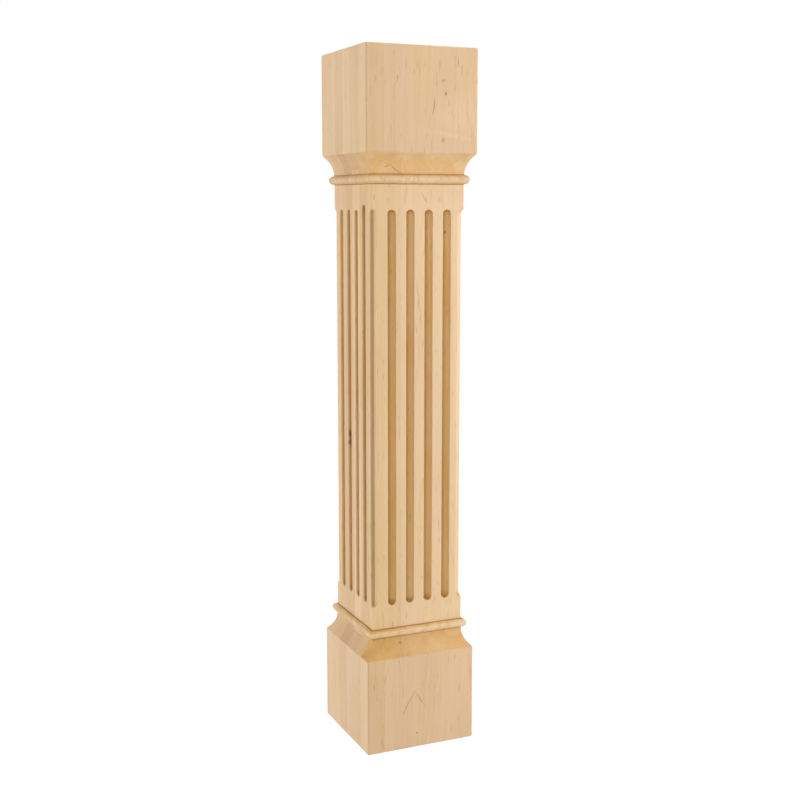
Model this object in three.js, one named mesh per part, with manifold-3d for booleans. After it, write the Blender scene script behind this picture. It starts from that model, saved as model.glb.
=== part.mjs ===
// Fluted square post: plain blocks at both ends, a cove and a bead next to each, and a fluted
// shaft with the corners coved, all milled from one glued-up wood blank.
// Millimetres, +Z up, origin at the middle of the underside, front face towards -Y.
import * as THREE from 'three';
import { mergeVertices } from 'three/addons/utils/BufferGeometryUtils.js';
import Module from 'manifold-3d';

// Blank and shaft
const postSide = 152.4;
const postHeight = 901.7;
const shaftSide = 127;
const cornerEase = 2.5; // rounding of the blocks' upright edges
const endEase = 1.6; // rounding of the blocks' outer ends

// Mouldings, the same at both ends: a half-round bead, then a cove that sweeps out to the block
const lowerBeadHeight = 158;
const upperBeadHeight = 740.8;
const beadRadius = 5.8;
const coveRadius = 34;
const coveProud = 0.4; // how far the cove's inner edge stands proud of the shaft

// Flutes
const flutesPerFace = 4;
const fluteSpacing = 25.4;
const fluteWidth = 11.4;
const fluteDepth = 5.4;
const fluteBottom = 194.2;
const fluteTop = 703.9;
const longFluteTop = 710.2; // the flute of the left face nearest the front edge runs past the others

// Each face is a turn of the front one; the flutes of two faces sit a little off the middle
const faces = [
  { turn: 0, offset: 1.6 }, // front
  { turn: 90, offset: 0 }, // right
  { turn: 180, offset: 0 }, // back
  { turn: 270, offset: -1, longFlute: 3 }, // left
];

// Radius of the cove along each upright corner of the shaft, and the signs of that corner's X and Y
const cornerCoves = [
  { x: -1, y: -1, radius: 6.9 },
  { x: 1, y: -1, radius: 8.1 },
  { x: 1, y: 1, radius: 7 },
  { x: -1, y: 1, radius: 6.1 },
];

// Fineness of the round shapes
const arcSteps = 6; // half the segments of each moulding arc
const roundSteps = 24; // sides of a flute cutter
const capSteps = 6; // rings in the cutter's round end

const woodColour = '#dfbf98';

const wasm = await Module();
wasm.setup();

// Half outline of one end of the post, from the middle of its end face in to the shaft
function endProfile(beadHeight) {
  const blockHalf = postSide / 2;
  const shaftHalf = shaftSide / 2;
  const coveInner = shaftHalf + coveProud;
  const footAngle = Math.acos(coveProud / beadRadius);
  const coveEnd = beadHeight - beadRadius * Math.sin(footAngle);
  const coveCentre = coveInner + coveRadius;
  const arrisAngle = Math.acos((coveCentre - blockHalf) / coveRadius);

  const path = new THREE.Path();
  path.moveTo(0, 0);
  path.lineTo(blockHalf - endEase, 0);
  path.absarc(blockHalf - endEase, endEase, endEase, -Math.PI / 2, 0, false);
  path.absarc(coveCentre, coveEnd, coveRadius, Math.PI + arrisAngle, Math.PI, true);
  path.absarc(shaftHalf, beadHeight, beadRadius, -footAngle, Math.PI / 2, false);
  return path.getPoints(arcSteps);
}

// Whole outline, underside to top
function postProfile() {
  const lower = endProfile(lowerBeadHeight);
  const upper = endProfile(postHeight - upperBeadHeight);
  const turnedOver = upper.map((point) => new THREE.Vector2(point.x, postHeight - point.y));
  return [...lower, ...turnedOver.reverse()];
}

// A lathe with four sides mitres the mouldings at the corners
function squareBody() {
  const points = postProfile().map((point) => new THREE.Vector2(point.x * Math.SQRT2, point.y));
  return new THREE.LatheGeometry(points, 4, Math.PI / 4).rotateX(Math.PI / 2);
}

// Upright prism that rounds the blocks' corners; its flat sides and ends stay just outside them
function easingPrism() {
  const clearance = 0.05;
  const half = postSide / 2 + clearance;
  const inner = half - cornerEase;
  const outline = new THREE.Shape();
  outline.absarc(inner, inner, cornerEase, 0, Math.PI / 2, false);
  outline.absarc(-inner, inner, cornerEase, Math.PI / 2, Math.PI, false);
  outline.absarc(-inner, -inner, cornerEase, Math.PI, Math.PI * 1.5, false);
  outline.absarc(inner, -inner, cornerEase, Math.PI * 1.5, Math.PI * 2, false);
  outline.closePath();
  const depth = postHeight + clearance * 2;
  const options = { depth, bevelEnabled: false, curveSegments: arcSteps };
  return new THREE.ExtrudeGeometry(outline, options).translate(0, 0, -clearance);
}

// Round-nosed cut from bottom to top, its axis upright through the origin
function cutter(radius, bottom, top) {
  const straight = top - bottom - radius * 2;
  const capsule = new THREE.CapsuleGeometry(radius, straight, capSteps, roundSteps);
  return capsule.rotateX(Math.PI / 2).translate(0, 0, (bottom + top) / 2);
}

// The cutters for one face's flutes, at the front and then turned to their face
function faceFlutes({ turn, offset, longFlute }) {
  const radius = (fluteWidth ** 2 / 4 + fluteDepth ** 2) / (fluteDepth * 2);
  const axisOut = shaftSide / 2 + radius - fluteDepth;
  const turnAngle = THREE.MathUtils.degToRad(turn);
  return Array.from({ length: flutesPerFace }, (_, number) => {
    const across = (number - (flutesPerFace - 1) / 2) * fluteSpacing + offset;
    const top = number === longFlute ? longFluteTop : fluteTop;
    return cutter(radius, fluteBottom, top).translate(across, -axisOut, 0).rotateZ(turnAngle);
  });
}

function cornerCutter({ x, y, radius }) {
  const half = shaftSide / 2;
  return cutter(radius, fluteBottom, fluteTop).translate(x * half, y * half, 0);
}

// A closed geometry as a solid, with shared corners joined and empty triangles dropped
function toSolid(geometry) {
  geometry.deleteAttribute('normal');
  geometry.deleteAttribute('uv');
  const merged = mergeVertices(geometry);
  const corners = merged.index.array;
  const kept = [];
  for (let start = 0; start < corners.length; start += 3) {
    const [a, b, c] = corners.slice(start, start + 3);
    if (a !== b && b !== c && c !== a) kept.push(a, b, c);
  }
  const vertProperties = merged.attributes.position.array;
  return new wasm.Manifold(new wasm.Mesh({ numProp: 3, vertProperties, triVerts: new Uint32Array(kept) }));
}

function toGeometry(solid) {
  const { vertProperties, triVerts } = solid.getMesh();
  const geometry = new THREE.BufferGeometry();
  geometry.setAttribute('position', new THREE.BufferAttribute(vertProperties, 3));
  geometry.setIndex(new THREE.BufferAttribute(triVerts, 1));
  geometry.computeVertexNormals();
  return geometry;
}

function flutedPost() {
  const cutters = [...faces.flatMap(faceFlutes), ...cornerCoves.map(cornerCutter)];
  let solid = toSolid(squareBody()).intersect(toSolid(easingPrism()));
  for (const cut of cutters) solid = solid.subtract(toSolid(cut));
  const wood = new THREE.MeshStandardMaterial({ color: woodColour, roughness: 0.55, metalness: 0 });
  const mesh = new THREE.Mesh(toGeometry(solid), wood);
  mesh.name = 'fluted_post';
  return mesh;
}

const post = new THREE.Group();
post.add(flutedPost());

export default post;
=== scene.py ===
import math
import bpy
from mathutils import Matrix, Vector


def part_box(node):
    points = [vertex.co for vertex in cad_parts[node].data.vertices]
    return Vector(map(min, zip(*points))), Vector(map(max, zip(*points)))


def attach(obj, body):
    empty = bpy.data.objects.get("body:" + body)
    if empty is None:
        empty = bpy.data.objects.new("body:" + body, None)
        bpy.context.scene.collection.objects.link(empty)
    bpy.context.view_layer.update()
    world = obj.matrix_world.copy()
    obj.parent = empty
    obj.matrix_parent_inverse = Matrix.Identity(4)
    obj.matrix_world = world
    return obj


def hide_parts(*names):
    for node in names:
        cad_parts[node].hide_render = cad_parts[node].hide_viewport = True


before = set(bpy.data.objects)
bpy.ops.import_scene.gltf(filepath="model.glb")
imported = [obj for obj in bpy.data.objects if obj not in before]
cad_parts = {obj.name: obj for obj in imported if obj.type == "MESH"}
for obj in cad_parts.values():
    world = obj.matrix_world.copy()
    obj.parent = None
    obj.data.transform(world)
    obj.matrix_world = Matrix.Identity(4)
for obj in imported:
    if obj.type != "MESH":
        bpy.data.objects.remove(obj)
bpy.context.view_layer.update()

mm = 0.001  # the frame is in metres, sizes below are in millimetres

_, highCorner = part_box("fluted_post")
blockHalf = highCorner[0] / mm
postHeight = highCorner[2] / mm

# The milled post, in millimetres. Its overall box comes from the frame.
post = {
    "shaftHalf": 63.5,
    "lowerBead": 158.0,
    "upperBead": 740.8,
    "beadRadius": 5.8,
    "coveRadius": 34.0,
    "coveProud": 0.4,  # the cove's inner edge stands this far proud of the shaft
    "fluteSpacing": 25.4,
    "fluteWidth": 11.4,
    "fluteDepth": 5.4,
    "fluteBottom": 194.2,
    "fluteTop": 703.9,
    "longFluteTop": 710.2,
    "blockEase": 2.5,  # rounding of the blocks' upright edges
    "endEase": 1.6,  # of the outer ends
    "arrisEase": 1.2,  # where a block meets its cove
    "mitreEase": 0.8,  # of the corners of the mouldings and necks
    "lipEase": 0.55,  # of the flutes' lips
    "easeFrom": 0.75,  # share of a cove's sweep from which its corners round out to the block's
    "sharpAngle": 40.0,  # degrees
}

# Faces in turn from the front, each with how far its flutes sit off the middle
postFaces = [
    {"turn": 0, "offset": 1.6, "longFlute": None},
    {"turn": 90, "offset": 0.0, "longFlute": None},
    {"turn": 180, "offset": 0.0, "longFlute": None},
    {"turn": 270, "offset": -1.0, "longFlute": 3},
]
cornerCoves = [8.1, 7.0, 6.1, 6.9]  # radius at the corner after each face

# Fineness of the mesh
steps = {"ease": 5, "cove": 24, "bead": 24, "lip": 3, "hollow": 12, "quarter": 10, "coveEnd": 8}
flutesPerFace = 4
cornerPoints = steps["hollow"] + 2 * steps["lip"] + 1
columnCount = 2 * flutesPerFace - 1  # on a face: the flutes and the lands between them
ringStride = columnCount + cornerPoints  # points of one face and the corner after it


def arc(centre, radius, start, end, count):
    turns = [math.radians(start + (end - start) * i / count) for i in range(count + 1)]
    return [(centre[0] + radius * math.cos(t), centre[1] + radius * math.sin(t)) for t in turns]


def endProfile(beadHeight):
    # half width and height from the end face in to the shaft
    shaftHalf, bead, cove = post["shaftHalf"], post["beadRadius"], post["coveRadius"]
    ease, endEase = post["arrisEase"], post["endEase"]
    foot = math.degrees(math.acos(post["coveProud"] / bead))
    coveEnd = beadHeight - bead * math.sin(math.radians(foot))
    coveCentre = (shaftHalf + post["coveProud"] + cove, coveEnd)
    easeX = blockHalf - ease
    easeZ = coveEnd - math.sqrt((cove + ease) ** 2 - (coveCentre[0] - easeX) ** 2)
    arrisTurn = math.degrees(math.atan2(coveEnd - easeZ, coveCentre[0] - easeX))
    points = arc((blockHalf - endEase, endEase), endEase, -90, 0, steps["ease"])
    points += arc((easeX, easeZ), ease, 0, arrisTurn, steps["ease"])
    points += arc(coveCentre, cove, 180 + arrisTurn, 180, steps["cove"])[1:]
    points += arc((shaftHalf, beadHeight), bead, -foot, 90, steps["bead"])[1:]
    return points


def roundCorner(ease):
    # distances back from the corner along the two faces that meet there
    turns = [math.pi / 2 * i / (cornerPoints - 1) for i in range(cornerPoints)]
    return [(ease - ease * math.sin(t), ease - ease * math.cos(t)) for t in turns]


def coveCorner(radius, ease):
    # a hollow quarter round with eased lips
    reach = math.sqrt((radius + ease) ** 2 - ease ** 2)
    tilt = math.degrees(math.atan2(ease, reach))
    lip = arc((reach, ease), ease, 270, 180 + tilt, steps["lip"])
    hollow = arc((0, 0), radius, tilt, 90 - tilt, steps["hollow"])
    return lip[:-1] + hollow + [(q, p) for p, q in reversed(lip[:-1])]


def fluteSection():
    # distance from the flute's middle line and depth, lip to floor
    width, depth, ease = post["fluteWidth"], post["fluteDepth"], post["lipEase"]
    radius = (width ** 2 / 4 + depth ** 2) / (2 * depth)
    axisOut = radius - depth
    reach = math.sqrt((radius + ease) ** 2 - (ease + axisOut) ** 2)
    tilt = math.degrees(math.atan2(ease + axisOut, reach))
    lip = arc((reach, ease), ease, 270, 180 + tilt, steps["lip"])
    hollow = arc((0, -axisOut), radius, tilt, 90, steps["hollow"])
    return lip + hollow[1:-1], depth


def cornerEase(half):
    share = (half - post["shaftHalf"]) / (blockHalf - post["shaftHalf"])
    blend = min(1, max(0, (share - post["easeFrom"]) / (1 - post["easeFrom"])))
    return post["mitreEase"] + (post["blockEase"] - post["mitreEase"]) * blend


class PostMesh:
    def __init__(self):
        self.points, self.polygons = [], []

    def point(self, face, across, out, height):
        turn = math.radians(postFaces[face]["turn"])
        x = across * math.cos(turn) + out * math.sin(turn)
        y = across * math.sin(turn) - out * math.cos(turn)
        self.points.append((x * mm, y * mm, height * mm))
        return len(self.points) - 1

    def strip(self, lower, upper, closed=False):
        count = len(lower)
        for i in range(count if closed else count - 1):
            j = (i + 1) % count
            self.polygons.append((lower[i], lower[j], upper[j], upper[i]))


def fluteCentres(face):
    first = -(flutesPerFace - 1) / 2 * post["fluteSpacing"] + postFaces[face]["offset"]
    return [first + i * post["fluteSpacing"] for i in range(flutesPerFace)]


def faceColumns(face):
    # the flutes' middle lines and the lands' middles between them
    centres = fluteCentres(face)
    return [centres[0] + i * post["fluteSpacing"] / 2 for i in range(columnCount)]


def bodyRing(mesh, half, height):
    ring = []
    scale = half / post["shaftHalf"]
    for face in range(len(postFaces)):
        ring += [mesh.point(face, a * scale, half, height) for a in faceColumns(face)]
        corner = roundCorner(cornerEase(half))
        ring += [mesh.point(face, half - p, half - q, height) for p, q in corner]
    return ring


def postEnd(mesh, profile, upsideDown):
    rings = [bodyRing(mesh, half, postHeight - z if upsideDown else z) for half, z in profile]
    if upsideDown:
        rings.reverse()
    for lower, upper in zip(rings, rings[1:]):
        mesh.strip(lower, upper, closed=True)
    if upsideDown:
        mesh.polygons.append(tuple(rings[-1]))
        return rings[0]
    mesh.polygons.append(tuple(reversed(rings[0])))
    return rings[-1]


def cornerStrip(mesh, face, lowRow, highRow):
    half, radius = post["shaftHalf"], cornerCoves[face]
    low, high = post["fluteBottom"], post["fluteTop"]

    def row(section, height):
        return [mesh.point(face, half - p, half - q, height) for p, q in section]

    plain = roundCorner(post["mitreEase"])
    rise = [math.pi / 2 * i / steps["coveEnd"] for i in range(steps["coveEnd"])]
    end = []
    for turn in rise:
        hollow = radius * math.cos(turn)
        end.append((coveCorner(hollow, min(post["lipEase"], hollow / 3)), radius * math.sin(turn)))
    rows = [lowRow, row(plain, low)]
    rows += [row(section, low + radius - up) for section, up in reversed(end)]
    rows += [row(section, high - radius + up) for section, up in end]
    rows += [row(plain, high), highRow]
    for lower, upper in zip(rows, rows[1:]):
        mesh.strip(lower, upper)
    return rows


def flute(mesh, face, centre, bottom, top):
    section, depth = fluteSection()
    reach = section[0][0]
    low, high = bottom + reach, top - reach  # ends of the straight middle line
    quarter = [math.pi / 2 * i / steps["quarter"] for i in range(steps["quarter"] + 1)]
    path = [(t - math.pi / 2, low) for t in quarter]
    path += [(t, high) for t in quarter]
    path += [(t + math.pi / 2, high) for t in quarter[1:]]
    path += [(t + math.pi, low) for t in quarter[:-1]]
    rings = []
    for away, deep in section:
        out = post["shaftHalf"] - deep
        rings.append([mesh.point(face, centre + away * math.cos(t), out, z + away * math.sin(t))
                      for t, z in path])
    for outer, inner in zip(rings, rings[1:]):
        mesh.strip(outer, inner, closed=True)
    floor = {z: mesh.point(face, centre, post["shaftHalf"] - depth, z) for z in (low, high)}
    last = rings[-1]
    for i, (_, z) in enumerate(path):
        j = (i + 1) % len(path)
        ends = [floor[path[j][1]]]
        if path[j][1] != z:
            ends.append(floor[z])
        mesh.polygons.append((last[i], last[j], *ends))
    return rings[0]


def shaftFace(mesh, face, lowRing, highRing, leftPath, rightPath):
    # each flute's cell runs from land middle to land middle, as two flat pieces round the flute
    low = lowRing[face * ringStride:]
    high = highRing[face * ringStride:]
    tip = 2 * steps["quarter"] + 1  # the lip's point at the top of the middle line
    for i, centre in enumerate(fluteCentres(face)):
        top = post["longFluteTop"] if i == postFaces[face]["longFlute"] else post["fluteTop"]
        lip = flute(mesh, face, centre, post["fluteBottom"], top)
        middle = 2 * i
        left = leftPath if i == 0 else [low[middle - 1], high[middle - 1]]
        right = rightPath if i == flutesPerFace - 1 else [low[middle + 1], high[middle + 1]]
        leftLip = [lip[0]] + lip[:tip - 1:-1]
        mesh.polygons.append((low[middle], *leftLip, high[middle], *reversed(left)))
        mesh.polygons.append((low[middle], *right, high[middle], *reversed(lip[:tip + 1])))


def buildPost():
    mesh = PostMesh()
    lowRing = postEnd(mesh, endProfile(post["lowerBead"]), False)
    highRing = postEnd(mesh, endProfile(postHeight - post["upperBead"]), True)
    corners = []
    for face in range(len(postFaces)):
        start = face * ringStride + columnCount
        cornerRange = slice(start, start + cornerPoints)
        corners.append(cornerStrip(mesh, face, lowRing[cornerRange], highRing[cornerRange]))
    for face in range(len(postFaces)):
        leftPath = [row[-1] for row in corners[face - 1]]
        rightPath = [row[0] for row in corners[face]]
        shaftFace(mesh, face, lowRing, highRing, leftPath, rightPath)

    data = bpy.data.meshes.new("milledPost")
    data.from_pydata(mesh.points, [], mesh.polygons)
    data.validate()
    data.shade_smooth()
    data.set_sharp_from_angle(angle=math.radians(post["sharpAngle"]))
    body = bpy.data.objects.new("milledPost", data)
    bpy.context.collection.objects.link(body)
    normals = body.modifiers.new("flatFaces", "WEIGHTED_NORMAL")
    normals.keep_sharp = True
    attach(body, "root")
    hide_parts("fluted_post")
    print("post built,", len(data.vertices), "points,", len(data.polygons), "polygons")
    return body


# Sanded maple, glued up from staves that lie one behind the other. Colours are linear, and all
# below the first two multiply the wood's own.
maple = {
    "pale": (0.82, 0.612, 0.412),
    "warm": (0.70, 0.495, 0.290),
    "yellowBoard": (1.0, 0.99, 0.965),  # boards behind the front layer lie between these two
    "pinkBoard": (1.0, 0.965, 0.985),
    "leftBoard": (1.0, 0.99, 0.95),  # of the front layer
    "yellowing": (0.995, 0.985, 0.91),  # soft streaks anywhere
    "blush": (1.0, 0.975, 0.98),
    "growthLine": (0.80, 0.70, 0.58),
    "glueLine": (0.82, 0.74, 0.64),
    "frontEndGrain": (0.98, 0.90, 0.76),  # where the cut crosses the front layer's grain
    "goldenPatch": (0.96, 0.91, 0.76),  # in patches there
    "lowerGoldAndShade": (0.86, 0.79, 0.60),  # and in its lower cove, most of all at the left: a golden tone that is partly painted shade on that upward-facing cove
    "dullEndGrain": (0.87, 0.83, 0.77),  # the other layers' end grain lies between these two
    "clearEndGrain": (0.98, 0.95, 0.89),
    "shaftWarmth": (1.0, 0.98, 0.92),
    # painted shade with some warmer tone of the cut wood, in the flutes and less in the corner
    # coves
    "fluteShadeAndWarmth": (0.94, 0.81, 0.49),
    "fluteRed": (1.0, 0.92, 0.86),
    "paintedWallShade": (0.70, 0.65, 0.57),  # painted shade on the wall of each hollow that faces right, seen from in front of its face
    # painted shade at the flutes' ends
    "fluteEndShade": (0.66, 0.56, 0.42),
    "beadBlotch": (0.93, 0.88, 0.80),
    "quirkShade": (0.60, 0.47, 0.33),  # painted shade in the sharp corners beside the beads
}

# The blank, in millimetres
blank = {
    "staveTones": [0.68, 0.38, 0.70, 0.34, 0.62, 0.72],  # front to back, 1 is palest
    "leftBoardTone": -0.22,  # the board on the left of the joint against the one on its right
    "frontJoint": -25.0,  # across, where two boards of the front layer meet
    "jointSway": 40.0,  # how far the joints of the layers behind wander from it
    "swayTurn": 2.4,  # radians from layer to layer
    "boardSeed": 5.3,
    "heartAcross": 60.0,  # each board's heart lies up to this far to either side
    "heartAway": (50.0, 100.0),  # and this far behind or before its layer
    "ringSpacing": 3.2,
    "ringBend": 12.0,
    "taper": 0.035,  # how fast the rings widen up the post
}
layerCount = len(blank["staveTones"])
layerThick = 2 * blockHalf / layerCount

# Patterns in the wood: waves per metre across, across and along the post, how finely they are
# broken up, and between which values of the noise they come to show
grain = {
    "blotch": {"waves": (14, 14, 5), "detail": 3},
    "bands": {"waves": (80, 80, 1.8), "detail": 2},
    "yellowing": {"waves": (24, 24, 5), "detail": 2, "shows": (0.45, 0.66)},
    "blush": {"waves": (31, 31, 3), "detail": 2, "shows": (0.50, 0.70)},
    "ringBend": {"waves": (9, 9, 4), "detail": 2},
    "ringFade": {"waves": (45, 45, 9), "detail": 2, "shows": (0.42, 0.62)},
    "fibre": {"waves": (900, 900, 16), "detail": 2, "rough": 0.6, "shows": (0.40, 0.75)},
    "pore": {"waves": (2600, 2600, 190), "detail": 1, "shows": (0.66, 0.78)},
    "dash": {"waves": (400, 400, 52), "detail": 1, "shows": (0.66, 0.76)},
    "goldenPatch": {"waves": (38, 38, 60), "detail": 3, "shows": (0.44, 0.62)},
    "fluteUneven": {"waves": (40, 40, 11), "detail": 2, "shows": (0.35, 0.65)},
    "fluteRed": {"waves": (47, 47, 8), "detail": 2, "shows": (0.50, 0.66)},
    "beadBlotch": {"waves": (120, 120, 90), "detail": 3, "shows": (0.46, 0.66)},
    "markEdge": {"waves": (260, 260, 120), "detail": 2},
    "markWander": {"waves": (90, 90, 90), "detail": 3},
}

# How strongly each pattern shows
strength = {
    "blotch": 1.1, "bands": 0.7,
    "ring": 0.36, "fibre": 0.15, "pore": 0.22, "dash": 0.65, "glue": 0.55, "quirk": 0.9,
    "leastFluteShadeAndWarmth": 0.75, "lowFluteEnd": 0.9, "highFluteEnd": 0.6,
    "cornerHollow": 0.25,  # the coves along the corners against the flutes
    "bump": 0.35, "gloss": 0.32,
}
fibreRoughness = (0.48, 0.62)


class Nodes:
    # a few short calls for wiring one material or world
    def __init__(self, owner):
        owner.use_nodes = True
        self.tree = owner.node_tree
        self.tree.nodes.clear()

    def add(self, kind, inputs=(), output=0, **settings):
        node = self.tree.nodes.new(kind)
        for key, value in settings.items():
            setattr(node, key, value)
        for key, value in dict(inputs).items():
            socket = node.inputs[key]
            if isinstance(value, bpy.types.NodeSocket):
                self.tree.links.new(value, socket)
            else:
                socket.default_value = value
        return node.outputs[output]

    def end(self, kind, shader):
        target = self.tree.nodes.new(kind)
        self.tree.links.new(shader, target.inputs[0])

    def apart(self, kind, value):
        return list(self.add(kind, {0: value}).node.outputs)

    def math(self, operation, first, second=0.0, third=0.0):
        return self.add("ShaderNodeMath", {0: first, 1: second, 2: third}, operation=operation)

    def vector(self, operation, first, second=(0, 0, 0), output=0):
        inputs = {0: first, 1: second}
        return self.add("ShaderNodeVectorMath", inputs, output, operation=operation)

    def both(self, first, second):
        return self.math("MULTIPLY", first, second)

    def inverse(self, value):
        return self.math("SUBTRACT", 1.0, value)

    def absolute(self, value):
        return self.math("ABSOLUTE", value)

    def distance(self, first, second):
        squares = self.math("ADD", self.math("POWER", first, 2.0), self.math("POWER", second, 2.0))
        return self.math("SQRT", squares)

    def vary(self, value, noise, amount):
        return self.math("MULTIPLY_ADD", self.math("SUBTRACT", noise, 0.5), amount, value)

    def step(self, value, low, high, toLow=0.0, toHigh=1.0):
        inputs = {"Value": value, "From Min": low, "From Max": high}
        inputs.update({"To Min": toLow, "To Max": toHigh})
        return self.add("ShaderNodeMapRange", inputs, interpolation_type="SMOOTHSTEP")

    def random(self, seed, output="Value"):
        return self.add("ShaderNodeTexWhiteNoise", {"W": seed}, output, noise_dimensions="1D")

    def mix(self, share, first, second, blend="MIX"):
        inputs = {0: share, 6: first, 7: second}
        settings = {"data_type": "RGBA", "blend_type": blend, "clamp_factor": True}
        return self.add("ShaderNodeMix", inputs, 2, **settings)

    def tint(self, colour, share, factor):
        return self.mix(share, colour, (*factor, 1), "MULTIPLY")


# Natural marks in the wood, on the front unless the left face is named: middle across and height,
# half width and half length, lean in degrees, and how dark or pale
markTints = {"dark": (0.34, 0.22, 0.13), "pale": (1.05, 1.07, 1.10)}
woodMarks = {
    "fleck": {"at": (31.1, 844.6), "size": (1.5, 3.4), "lean": 6, "dark": 0.85},
    "streakHigh": {"at": (14.8, 828.0), "size": (1.1, 14.5), "lean": 8, "dark": 0.62},
    "smudgeHigh": {"at": (28.0, 860.0), "size": (4.0, 2.2), "lean": -20, "dark": 0.40},
    "paleCorner": {"at": (46.0, 818.0), "size": (34.0, 34.0), "lean": 0, "pale": 0.8},
    "paleBand": {"at": (34.0, 795.5), "size": (4.5, 48.0), "lean": -80, "pale": 1.0},
    "streakRight": {"at": (48.3, 883.0), "size": (0.9, 9.0), "lean": 0, "dark": 0.55},
    "streakLeft": {"at": (-33.7, 861.4), "size": (0.9, 5.0), "lean": 0, "dark": 0.50},
    "smudgeLow": {"at": (27.4, 788.3), "size": (3.0, 3.6), "lean": 30, "dark": 0.38},
    "archLeft": {"at": (-42.5, 756.5), "size": (1.0, 7.0), "lean": 70, "dark": 0.50},
    "archRight": {"at": (-31.0, 752.0), "size": (1.0, 11.0), "lean": -55, "dark": 0.50},
    "neckLine": {"at": (7.8, 718.0), "size": (0.8, 9.5), "lean": -29, "dark": 0.45},
    "fluteSpot": {"at": (38.8, 675.0), "size": (2.2, 3.2), "lean": 0, "dark": 0.60},
    "landLine": {"at": (0.2, 592.0), "size": (0.7, 36.0), "lean": -8, "dark": 0.40},
    "blockLine": {"at": (-51.0, 101.5), "size": (0.6, 20.0), "lean": 14, "dark": 0.38},
    "peakLeft": {"at": (-19.5, 60.5), "size": (1.0, 26.0), "lean": 32, "dark": 0.50},
    "peakRight": {"at": (-2.3, 66.3), "size": (1.0, 17.0), "lean": -32, "dark": 0.45},
    "dot": {"at": (-6.6, 19.4), "size": (1.6, 2.0), "lean": 0, "dark": 0.80},
    "coveFleck": {"at": (-25.4, 143.0), "size": (3.0, 1.6), "lean": 20, "dark": 0.50},
    "pitchStreak": {"at": (-18.0, 405.0), "size": (1.5, 18.0), "lean": 0, "dark": 0.95,
                    "left": True},
}


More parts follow.
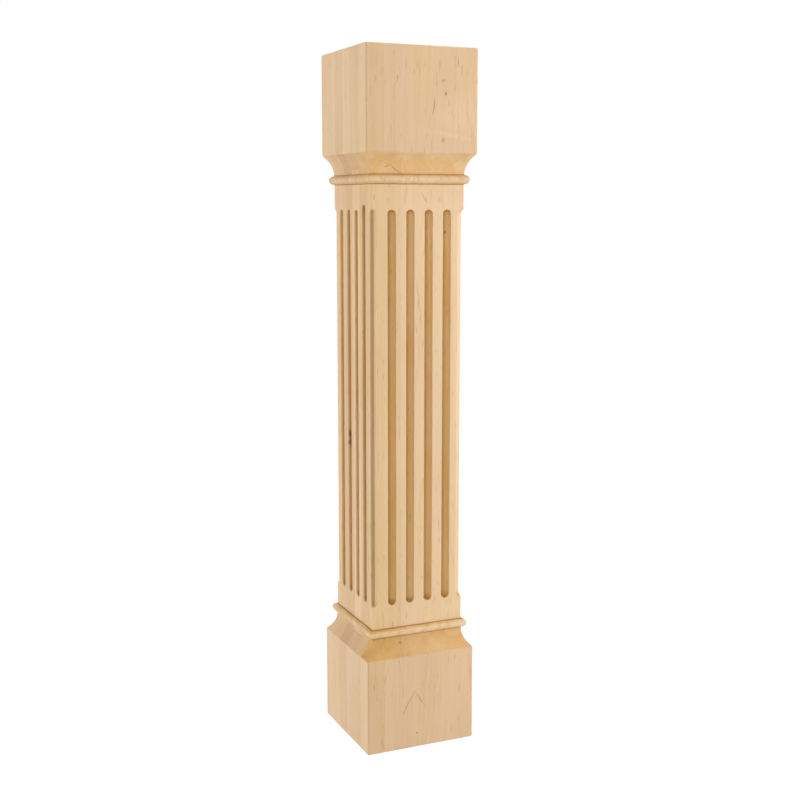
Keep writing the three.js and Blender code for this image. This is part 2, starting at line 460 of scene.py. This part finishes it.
class MapleNodes(Nodes):
    # the wood is coloured in turns, each staining what the one before it left
    def __init__(self, material):
        super().__init__(material)
        self.place = self.add("ShaderNodeTexCoord", output="Object")
        self.x, self.y, self.z = self.apart("ShaderNodeSeparateXYZ", self.place)
        normal = self.add("ShaderNodeNewGeometry", output="Normal")
        self.normal = self.apart("ShaderNodeSeparateXYZ", normal)

    def figure(self, name):
        look = grain[name]
        inputs = {"Vector": self.vector("MULTIPLY", self.place, look["waves"]), "Scale": 1.0}
        inputs.update({"Detail": look["detail"], "Roughness": look.get("rough", 0.5)})
        return self.add("ShaderNodeTexNoise", inputs)

    def patches(self, name, least=0.0):
        return self.step(self.figure(name), *grain[name]["shows"], least)

    def stain(self, share, name):
        self.colour = self.tint(self.colour, share, maple[name])

    def stainLines(self, line, kind, name="growthLine"):
        self.stain(self.both(line, strength[kind]), name)

    def findBoard(self):
        self.depth = self.math("MULTIPLY_ADD", self.y, 1 / (2 * blockHalf * mm), 0.5)
        self.layer = self.math("FLOOR", self.both(self.depth, layerCount))
        sway = self.math("SINE", self.both(self.layer, blank["swayTurn"]))
        joint = self.math("MULTIPLY_ADD", sway, blank["jointSway"] * mm, blank["frontJoint"] * mm)
        self.fromJoint = self.math("SUBTRACT", self.x, joint)
        self.rightBoard = self.math("GREATER_THAN", self.fromJoint, 0.0)
        self.stave = self.math("MULTIPLY_ADD", self.layer, 2.0, self.rightBoard)
        self.behindFront = self.math("GREATER_THAN", self.layer, 0.5)
        seed = self.math("ADD", self.stave, blank["boardSeed"])
        self.chances = self.apart("ShaderNodeSeparateColor", self.random(seed, "Color"))

    def staveTone(self):
        tone = self.add("ShaderNodeValToRGB", {0: self.depth})
        tone.node.color_ramp.interpolation = "CONSTANT"
        stops = tone.node.color_ramp.elements
        while len(stops) < layerCount:
            stops.new(0.5)
        for i, grey in enumerate(blank["staveTones"]):
            stops[i].position = i / layerCount
            stops[i].color = (grey, grey, grey, 1)
        return tone

    def boardColours(self):
        leftBoard = self.inverse(self.rightBoard)
        tone = self.math("MULTIPLY_ADD", leftBoard, blank["leftBoardTone"], self.staveTone())
        tone = self.vary(tone, self.figure("blotch"), strength["blotch"])
        tone = self.vary(tone, self.figure("bands"), strength["bands"])
        self.colour = self.mix(tone, (*maple["warm"], 1), (*maple["pale"], 1))
        hue = self.mix(self.chances[2], (*maple["yellowBoard"], 1), (*maple["pinkBoard"], 1))
        self.colour = self.mix(self.behindFront, self.colour, hue, "MULTIPLY")
        self.stain(self.math("GREATER_THAN", leftBoard, self.behindFront), "leftBoard")
        self.stain(self.patches("yellowing"), "yellowing")
        self.stain(self.patches("blush"), "blush")

    def growthRings(self):
        # about a heart that lies outside each board
        across, (near, far) = blank["heartAcross"], blank["heartAway"]
        heartX = self.math("MULTIPLY_ADD", self.chances[0], 2 * across * mm, -across * mm)
        behind = self.math("GREATER_THAN", self.chances[1], 0.5)
        side = self.math("MULTIPLY_ADD", behind, 2.0, -1.0)
        away = self.math("MULTIPLY_ADD", self.chances[2], (far - near) * mm, near * mm)
        firstMiddle = layerThick / 2 - blockHalf
        middle = self.math("MULTIPLY_ADD", self.layer, layerThick * mm, firstMiddle * mm)
        heartY = self.math("MULTIPLY_ADD", side, away, middle)
        radius = self.distance(self.math("SUBTRACT", self.x, heartX),
                               self.math("SUBTRACT", self.y, heartY))
        radius = self.vary(radius, self.figure("ringBend"), blank["ringBend"] * mm)
        radius = self.math("MULTIPLY_ADD", self.z, blank["taper"], radius)
        rings = self.math("DIVIDE", radius, blank["ringSpacing"] * mm)
        share = self.math("FRACT", rings)
        line = self.both(self.step(share, 0.45, 0.93), self.step(share, 1.0, 0.95))
        seed = self.math("MULTIPLY_ADD", self.stave, 17.0, self.math("FLOOR", rings))
        line = self.both(line, self.math("POWER", self.random(seed), 1.8))  # few rings are dark
        self.ringLine = self.both(line, self.patches("ringFade"))
        self.stainLines(self.ringLine, "ring")

    def fibresAndPores(self):
        self.fibre = self.figure("fibre")
        self.pore = self.patches("pore")
        self.stainLines(self.step(self.fibre, *grain["fibre"]["shows"]), "fibre")
        self.stainLines(self.pore, "pore")
        self.stainLines(self.patches("dash"), "dash")

    def glueLines(self):
        intoLayer = self.math("FRACT", self.both(self.depth, layerCount))
        layerGlue = self.step(self.math("PINGPONG", intoLayer, 0.5), 0.016, 0.004)
        boardGlue = self.step(self.absolute(self.fromJoint), 0.5 * mm, 0.1 * mm)
        self.stainLines(self.math("MAXIMUM", layerGlue, boardGlue), "glue", "glueLine")

    def findMoulding(self):
        # how far out a point lies, and where it is among the beads and coves
        shaft, bead = post["shaftHalf"], post["beadRadius"]
        self.reach = self.math("MAXIMUM", self.absolute(self.x), self.absolute(self.y))
        fromLower = self.absolute(self.math("SUBTRACT", self.z, post["lowerBead"] * mm))
        fromUpper = self.absolute(self.math("SUBTRACT", self.z, post["upperBead"] * mm))
        self.fromBead = self.math("MINIMUM", fromLower, fromUpper)
        offBead = self.step(self.fromBead, (bead - 0.3) * mm, (bead + 0.3) * mm)
        proud = self.step(self.reach, (shaft + 0.1) * mm, (shaft + 0.4) * mm)
        insideBlock = self.step(self.reach, blockHalf * mm, (blockHalf - post["arrisEase"]) * mm)
        self.inCove = self.both(self.both(proud, insideBlock), offBead)
        self.onBead = self.both(self.inverse(offBead), proud)

    def crossCuts(self):
        golden = self.patches("goldenPatch")
        front = self.tint((*maple["frontEndGrain"], 1), golden, maple["goldenPatch"])
        # golden tone of the lower cove, partly painted shade there, deeper towards the left
        low = self.step(self.z, 0.3, 0.2)
        towardsLeft = self.step(self.x, 0.03, -0.06, 0.55, 1.0)
        front = self.tint(front, self.both(low, towardsLeft), maple["lowerGoldAndShade"])
        dull, clear = (*maple["dullEndGrain"], 1), (*maple["clearEndGrain"], 1)
        cut = self.mix(self.behindFront, front, self.mix(self.chances[1], dull, clear))
        lying = self.step(self.absolute(self.normal[2]), 0.25, 0.95)
        share = self.math("MAXIMUM", self.inCove, lying)
        self.colour = self.mix(share, self.colour, cut, "MULTIPLY")

    def hollowWall(self):
        # how far a hollow's wall turns to the right, seen from in front of its face
        onSide = self.math("GREATER_THAN", self.absolute(self.x), self.absolute(self.y))
        sideWall = self.both(self.math("SIGN", self.x), self.normal[1])
        frontWall = self.both(self.math("SIGN", self.y), self.normal[0])
        return self.math("SUBTRACT", self.both(onSide, sideWall),
                         self.both(self.inverse(onSide), frontWall))

    def shaftAndFlutes(self):
        shaft, low, high = post["shaftHalf"] * mm, post["fluteBottom"], post["fluteTop"]
        self.stain(self.step(self.reach, blockHalf * mm, shaft), "shaftWarmth")
        sunk = self.math("SUBTRACT", shaft, self.reach)
        offEnds = self.math("COMPARE", self.z, postHeight * mm / 2, 0.3)
        hollow = self.both(self.step(sunk, 0.5 * mm, 3 * mm), offEnds)
        # painted shade: the wall of each hollow that faces right is darkened
        self.stain(self.both(hollow, self.step(self.hollowWall(), 0.05, 0.75)), "paintedWallShade")
        offMiddle = self.math("MINIMUM", self.absolute(self.x), self.absolute(self.y))
        inFlute = self.step(offMiddle, 54 * mm, 52 * mm, strength["cornerHollow"], 1.0)
        hollow = self.both(hollow, inFlute)
        # painted shade, with some warmer tone, in the hollows
        uneven = self.patches("fluteUneven", strength["leastFluteShadeAndWarmth"])
        self.stain(self.both(hollow, uneven), "fluteShadeAndWarmth")
        self.stain(self.both(hollow, self.patches("fluteRed")), "fluteRed")
        # painted shade at both ends of each flute, deeper at the lower end
        lowEnd = self.step(self.z, (low + 11) * mm, (low + 2) * mm, 0.0, strength["lowFluteEnd"])
        highEnd = self.step(self.z, (high - 9) * mm, (high - 1) * mm, 0.0, strength["highFluteEnd"])
        self.stain(self.both(hollow, self.math("MAXIMUM", lowEnd, highEnd)), "fluteEndShade")

    def beadsAndQuirks(self):
        shaft = post["shaftHalf"]
        self.stain(self.both(self.onBead, self.patches("beadBlotch")), "beadBlotch")
        # painted shade along the quirks beside the beads
        byShaft = self.step(self.reach, (shaft + 2.2) * mm, (shaft + 1.0) * mm)
        fromQuirk = self.absolute(self.math("SUBTRACT", self.fromBead, post["beadRadius"] * mm))
        quirk = self.both(self.step(fromQuirk, 1.3 * mm, 0.4 * mm), byShaft)
        self.stainLines(quirk, "quirk", "quirkShade")

    def naturalMarks(self):
        # each a soft leaning oval with an uneven edge
        edge = self.math("MULTIPLY_ADD", self.figure("markEdge"), 0.9, 0.55)
        wander = self.math("MULTIPLY_ADD", self.figure("markWander"), 5 * mm, -2.5 * mm)
        for mark in woodMarks.values():
            onLeft = "left" in mark
            across = self.both(self.y, -1.0) if onLeft else self.x
            lean = math.radians(mark["lean"])
            cosine, sine = math.cos(lean), math.sin(lean)
            over = self.math("SUBTRACT", self.math("ADD", across, wander), mark["at"][0] * mm)
            up = self.math("SUBTRACT", self.z, mark["at"][1] * mm)
            wide = self.math("MULTIPLY_ADD", over, cosine, self.both(up, -sine))
            long = self.math("MULTIPLY_ADD", over, sine, self.both(up, cosine))
            away = self.distance(self.math("DIVIDE", wide, mark["size"][0] * mm),
                                 self.math("DIVIDE", long, mark["size"][1] * mm))
            kind = "pale" if "pale" in mark else "dark"
            share = self.step(self.both(away, edge), 1.0, 0.3, 0.0, mark[kind])
            onFace = self.math("LESS_THAN", self.x if onLeft else self.y, -50 * mm)
            self.colour = self.tint(self.colour, self.both(share, onFace), markTints[kind])

    def surface(self):
        rough = self.step(self.fibre, 0.3, 0.8, *fibreRoughness)
        height = self.math("MULTIPLY_ADD", self.pore, -0.5, self.fibre)
        height = self.math("MULTIPLY_ADD", self.ringLine, -0.3, height)
        inputs = {"Strength": strength["bump"], "Distance": 0.08 * mm, "Height": height}
        inputs = {"Normal": self.add("ShaderNodeBump", inputs), "Roughness": rough}
        inputs.update({"Base Color": self.colour, "Specular IOR Level": strength["gloss"]})
        self.end("ShaderNodeOutputMaterial", self.add("ShaderNodeBsdfPrincipled", inputs))


def woodMaterial():
    material = bpy.data.materials.new("sandedMaple")
    wood = MapleNodes(material)
    wood.findBoard()
    wood.boardColours()
    wood.growthRings()
    wood.fibresAndPores()
    wood.glueLines()
    wood.findMoulding()
    wood.crossCuts()
    wood.shaftAndFlutes()
    wood.beadsAndQuirks()
    wood.naturalMarks()
    wood.surface()
    print("wood made,", len(wood.tree.nodes), "nodes")
    return material


# Pale round floor that fades out into the white surroundings
floorLook = {
    "radius": 1.0,
    "sides": 64,
    "colour": (0.35, 0.35, 0.35),
    "roughness": 0.8,
    "fadeFrom": 0.25,
    "glow": 0.52,  # as it lights the post
    "seenGlow": 0.80,  # as the eye sees it
}
white = (1, 1, 1, 1)


def floorMaterial():
    material = bpy.data.materials.new("paleFloor")
    n = Nodes(material)
    place = n.add("ShaderNodeTexCoord", output="Object")
    away = n.vector("LENGTH", place, output="Value")
    fade = n.step(away, floorLook["fadeFrom"], floorLook["radius"])
    seen = n.add("ShaderNodeLightPath", output="Is Camera Ray")
    extra = floorLook["seenGlow"] - floorLook["glow"]
    glow = n.math("MULTIPLY_ADD", seen, extra, floorLook["glow"])
    inputs = {"Base Color": (*floorLook["colour"], 1), "Roughness": floorLook["roughness"]}
    inputs.update({"Emission Color": white, "Emission Strength": glow})
    plain = n.add("ShaderNodeBsdfPrincipled", inputs)
    clear = n.add("ShaderNodeBsdfTransparent")
    n.end("ShaderNodeOutputMaterial", n.add("ShaderNodeMixShader", {0: fade, 1: plain, 2: clear}))
    return material


def buildFloor():
    radius, sides = floorLook["radius"], floorLook["sides"]
    turns = [2 * math.pi * i / sides for i in range(sides)]
    rim = [(radius * math.cos(t), radius * math.sin(t), 0) for t in turns]
    data = bpy.data.meshes.new("paleFloor")
    data.from_pydata(rim, [], [tuple(range(sides))])
    data.materials.append(floorMaterial())
    floor = bpy.data.objects.new("paleFloor", data)
    bpy.context.collection.objects.link(floor)
    print("floor laid")


# Soft boxes round the post, in metres and watts, turned towards its middle. Azimuth 0 is straight
# in front and positive to the right, raised is in degrees.
softBoxes = {
    "left": {"azimuth": -110, "raised": 8, "away": 1.5, "size": (1.0, 1.8), "power": 18,
             "colour": (0.95, 0.965, 1.0)},
    "right": {"azimuth": 62, "raised": 8, "away": 1.5, "size": (0.35, 1.8), "power": 24,
              "colour": (1.0, 0.99, 0.97)},
    "front": {"azimuth": -8, "raised": 26, "away": 2.4, "size": (0.8, 0.8), "power": 13},
    "edge": {"azimuth": -47, "raised": 10, "away": 2.4, "size": (0.5, 1.2), "power": 11},
    "top": {"azimuth": 0, "raised": 86, "away": 1.65, "size": (0.8, 0.8), "power": 12},
    "back": {"azimuth": 165, "raised": 20, "away": 2.4, "size": (1.0, 1.0), "power": 12},
}
# White all round to the eye; only what lies below the horizon lights the post
surround = {"seen": 1.0, "below": 0.42, "horizonBlur": 0.05}


def buildLights():
    middle = Vector((0, 0, postHeight * mm / 2))
    for name, box in softBoxes.items():
        turn, rise = math.radians(box["azimuth"]), math.radians(box["raised"])
        lamp = bpy.data.lights.new(name + "Box", "AREA")
        lamp.shape = "RECTANGLE"
        lamp.size, lamp.size_y = box["size"]
        lamp.energy = box["power"]
        lamp.color = box.get("colour", white[:3])
        light = bpy.data.objects.new(name + "Box", lamp)
        level = math.cos(rise)
        outward = Vector((math.sin(turn) * level, -math.cos(turn) * level, math.sin(rise)))
        light.location = middle + outward * box["away"]
        light.rotation_euler = (-outward).to_track_quat("-Z", "Y").to_euler()
        light.visible_camera = False
        bpy.context.collection.objects.link(light)
    print("soft boxes set,", len(softBoxes))


def buildSurround():
    world = bpy.data.worlds.new("whiteSurround")
    n = Nodes(world)
    direction = n.add("ShaderNodeTexCoord", output="Generated")
    upward = n.apart("ShaderNodeSeparateXYZ", direction)[2]
    blur = surround["horizonBlur"]
    inputs = {"Value": upward, "From Min": blur, "From Max": -blur, "To Max": surround["below"]}
    below = n.add("ShaderNodeMapRange", inputs)
    lit = n.add("ShaderNodeBackground", {"Color": white, "Strength": below})
    seen = n.add("ShaderNodeBackground", {"Color": white, "Strength": surround["seen"]})
    toEye = n.add("ShaderNodeLightPath", output="Is Camera Ray")
    n.end("ShaderNodeOutputWorld", n.add("ShaderNodeMixShader", {0: toEye, 1: lit, 2: seen}))
    bpy.context.scene.world = world
    bpy.context.scene.view_settings.view_transform = "Standard"
    print("surroundings set")


# Camera left of the front face and a little above the middle, as in the photograph: metres, degrees
# and the focal length in pixels of the 800 x 800 frame
view = {"place": (-0.6599, -1.5027, 0.7076), "yaw": 23.80, "down": 8.80, "focal": 1252.0}
frameWidth = 800
sensorWidth = 36.0  # mm


def buildCamera():
    lens = bpy.data.cameras.new("frontView")
    lens.sensor_width = sensorWidth
    lens.lens = view["focal"] / frameWidth * sensorWidth
    lens.clip_start = 0.01
    camera = bpy.data.objects.new("frontView", lens)
    camera.location = view["place"]
    camera.rotation_euler = (math.radians(90 - view["down"]), 0, -math.radians(view["yaw"]))
    bpy.context.collection.objects.link(camera)
    bpy.context.scene.camera = camera
    print("camera set")


body = buildPost()
body.data.materials.append(woodMaterial())
buildFloor()
buildLights()
buildSurround()
buildCamera()
